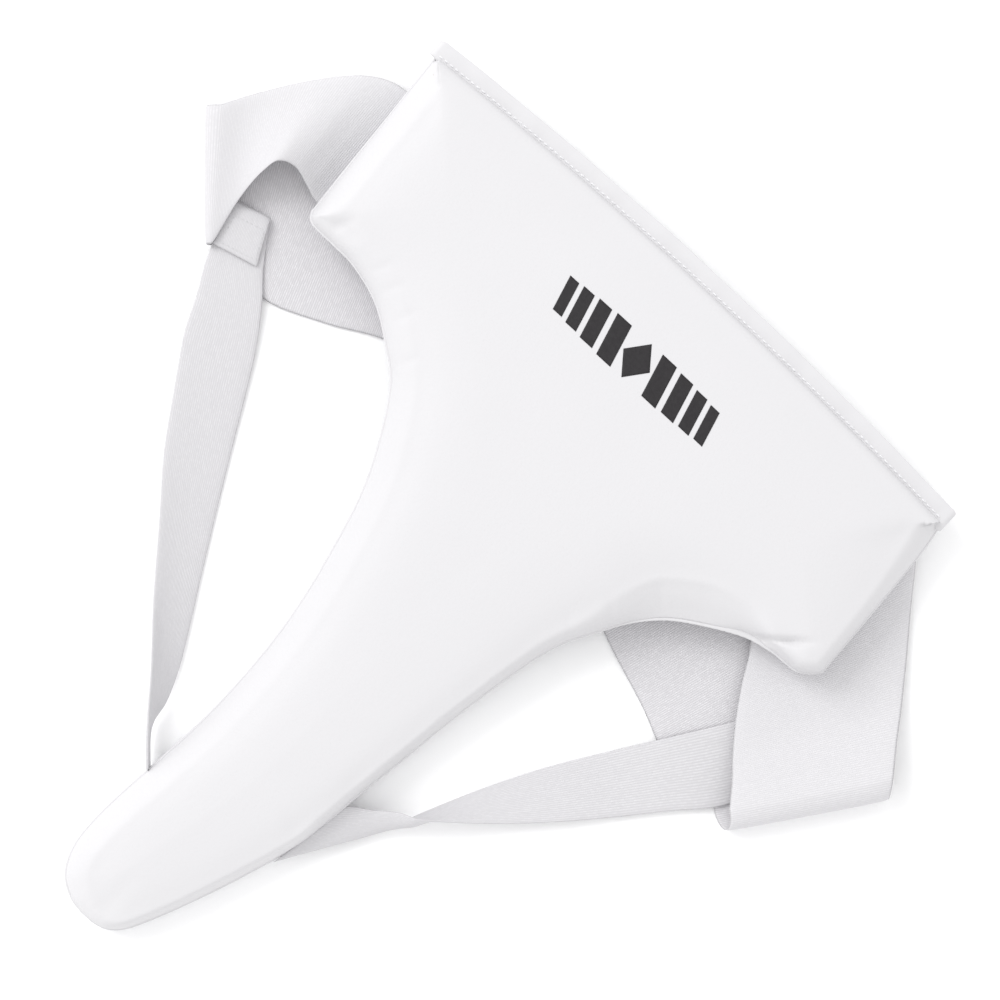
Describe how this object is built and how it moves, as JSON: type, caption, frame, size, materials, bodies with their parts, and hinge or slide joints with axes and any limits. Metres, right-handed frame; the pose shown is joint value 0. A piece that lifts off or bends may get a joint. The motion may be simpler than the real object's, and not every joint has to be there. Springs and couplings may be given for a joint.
{
  "type": "groin protector",
  "caption": "Padded martial arts groin protector: a wide shield narrowing to a tongue, on an elastic waistband and leg straps.",
  "frame": {"origin": "centre of the footprint of the protector as it lies front up, on the table it rests on", "axes": "+X along the shield's top edge, +Y up the body towards the waist, +Z out of the shield's front"},
  "size_m": [0.4128, 0.381, 0.0302],
  "materials": {
    "vinyl": "smooth white coated fabric, soft sheen",
    "lining": "matt white lining fabric",
    "foam": "closed-cell foam sheet",
    "liner_foam": "soft open-cell foam",
    "shell": "moulded natural plastic",
    "elastic": "ribbed white woven elastic",
    "leg_elastic": "finely ribbed white woven elastic",
    "thread": "white polyester thread",
    "print": "matt black print"
  },
  "bodies": {
    "root": {"front_cover": "vinyl", "back_lining": "lining", "main_foam": "foam", "impact_plate": "shell", "comfort_liner": "liner_foam", "top_hem": "vinyl", "hem_thread": "thread", "waistband": "elastic", "left_leg_strap": "leg_elastic", "right_leg_strap": "leg_elastic", "left_waistband_thread": "thread", "right_waistband_thread": "thread", "left_strap_thread": "thread", "left_strap_end_thread": "thread", "right_strap_thread": "thread", "right_strap_end_thread": "thread"}
  },
  "joints": []
}
